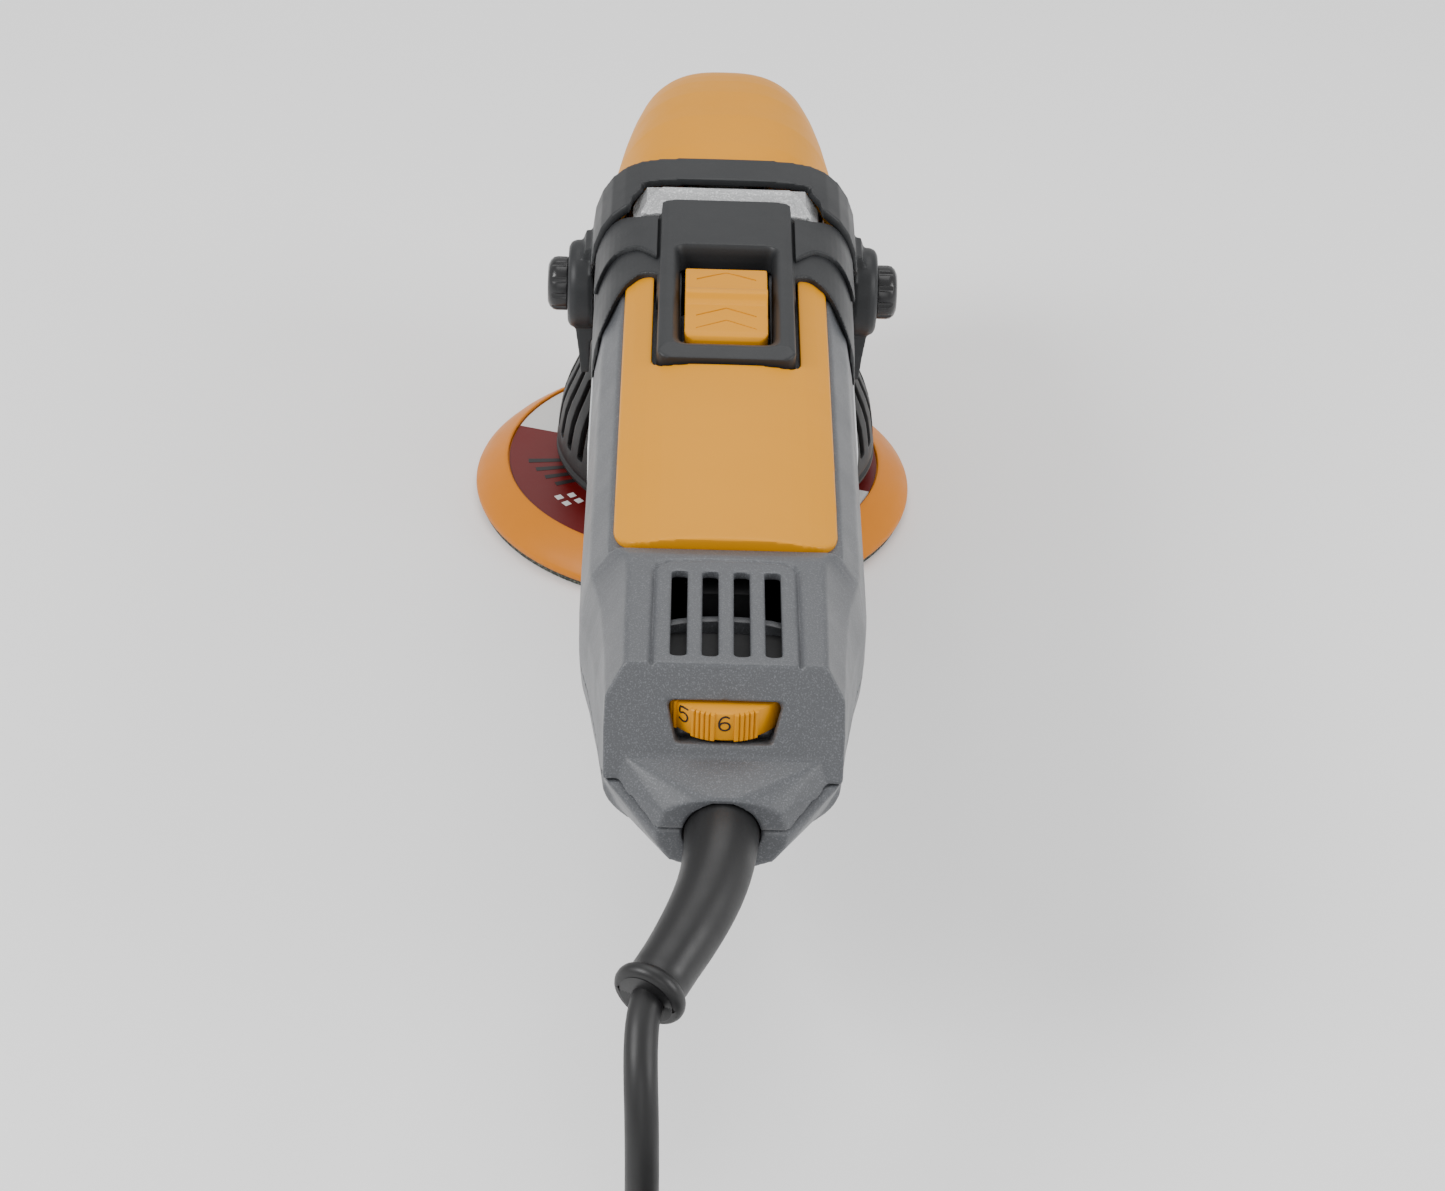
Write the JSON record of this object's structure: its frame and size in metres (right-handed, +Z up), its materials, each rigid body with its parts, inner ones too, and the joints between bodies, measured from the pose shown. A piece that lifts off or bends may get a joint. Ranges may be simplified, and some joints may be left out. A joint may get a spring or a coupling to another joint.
{
  "type": "dual-action polisher",
  "caption": "Corded dual-action car polisher: geared head with an offset free-spinning pad, slide switch, speed dial, side handle bosses and a mains cord.",
  "frame": {"origin": "on the output spindle's axis, in the plane of the pad's bottom face", "axes": "+Z up along the output spindle, +Y forwards along the tool towards its nose, +X to the right seen from behind"},
  "size_m": [0.1945, 0.6854, 0.1399],
  "materials": {
    "orange_plastic": "smooth glossy moulded plastic",
    "grey_plastic": "fine sparkle-textured moulded nylon",
    "dark_grip": "soft-touch overmould",
    "black_rubber": "matt black moulded rubber",
    "black_plastic": "matt black moulded plastic",
    "silver_plate": "blank silver foil plate",
    "cast_aluminium": "die-cast, lightly flecked",
    "ground_steel": "turned and ground",
    "laminated_steel": "stacked laminations",
    "copper_wire": "enamelled copper windings",
    "carbon": "pressed carbon brushes in brass boxes",
    "circuit_green": "coated circuit board",
    "red_label": "printed label, dark red with light sectors",
    "hook_fabric": "hook side of hook-and-loop",
    "cast_iron_dark": "cast counterweight"
  },
  "bodies": {
    "housing": {"upper_housing": "grey_plastic", "lower_housing": "grey_plastic", "top_panel": "orange_plastic", "switch_bezel": "dark_grip", "side_badges": "silver_plate", "gear_case": "cast_aluminium", "head_hood": "orange_plastic", "handle_yoke": "dark_grip", "bearing_flange": "cast_aluminium", "shroud": "black_rubber", "spindle_bearings": "ground_steel", "field_stator": "laminated_steel", "field_coils": "copper_wire", "brush_gear": "carbon", "motor_bearings": "ground_steel", "fan_baffle": "black_plastic", "speed_board": "circuit_green", "switch_unit": "black_plastic", "cable_clamp": "black_plastic", "housing_screws": "ground_steel", "case_screws": "ground_steel", "flange_screws": "ground_steel", "strain_relief": "black_rubber", "power_cord": "black_rubber", "cord_coil": "black_rubber", "cord_tie": "black_rubber", "plug_lead": "black_rubber", "plug_body": "black_plastic", "plug_pins": "ground_steel"},
    "switch": {"switch_button": "orange_plastic", "switch_slider": "black_plastic"},
    "dial": {"speed_dial": "orange_plastic"},
    "armature": {"armature_shaft": "ground_steel", "armature_core": "laminated_steel", "armature_windings": "copper_wire", "commutator": "copper_wire", "cooling_fan": "black_plastic", "drive_pinion": "ground_steel"},
    "spindle": {"output_spindle": "ground_steel", "crown_gear": "ground_steel", "eccentric_carrier": "cast_iron_dark", "pad_bearings": "ground_steel"},
    "pad": {"pad_spindle": "ground_steel", "backing_plate": "orange_plastic", "pad_label": "red_label", "hook_face": "hook_fabric", "pad_screw": "ground_steel"},
    "knob_l": {"knob_left": "black_plastic"},
    "knob_r": {"knob_right": "black_plastic"}
  },
  "joints": [
    {"name": "switch_slide", "type": "slide", "parent": "housing", "child": "switch", "axis": [0, 1, 0], "range_m": [0, 0.0085]},
    {"name": "dial_turn", "type": "hinge", "parent": "housing", "child": "dial", "pos_m": [0, -0.2944, 0.1186], "axis": [0, 0, 1], "range_deg": [0, 200]},
    {"name": "spindle_spin", "type": "hinge", "parent": "housing", "child": "spindle", "pos_m": [0, 0, 0.05], "axis": [0, 0, 1], "continuous": true},
    {"name": "armature_spin", "type": "hinge", "parent": "housing", "child": "armature", "pos_m": [0, -0.12, 0.095], "axis": [0, 1, 0], "continuous": true},
    {"name": "pad_spin", "type": "hinge", "parent": "spindle", "child": "pad", "pos_m": [-0.0075, 0, 0.03], "axis": [0, 0, 1], "continuous": true},
    {"name": "knob_left_turn", "type": "hinge", "parent": "housing", "child": "knob_l", "pos_m": [-0.05, -0.033, 0.097], "axis": [-1, 0, 0], "range_deg": [0, 360]},
    {"name": "knob_right_turn", "type": "hinge", "parent": "housing", "child": "knob_r", "pos_m": [0.05, -0.033, 0.097], "axis": [1, 0, 0], "range_deg": [0, 360]}
  ],
  "couplings": [
    {"joint": "armature_spin", "follows": "spindle_spin", "ratio": -4}
  ]
}
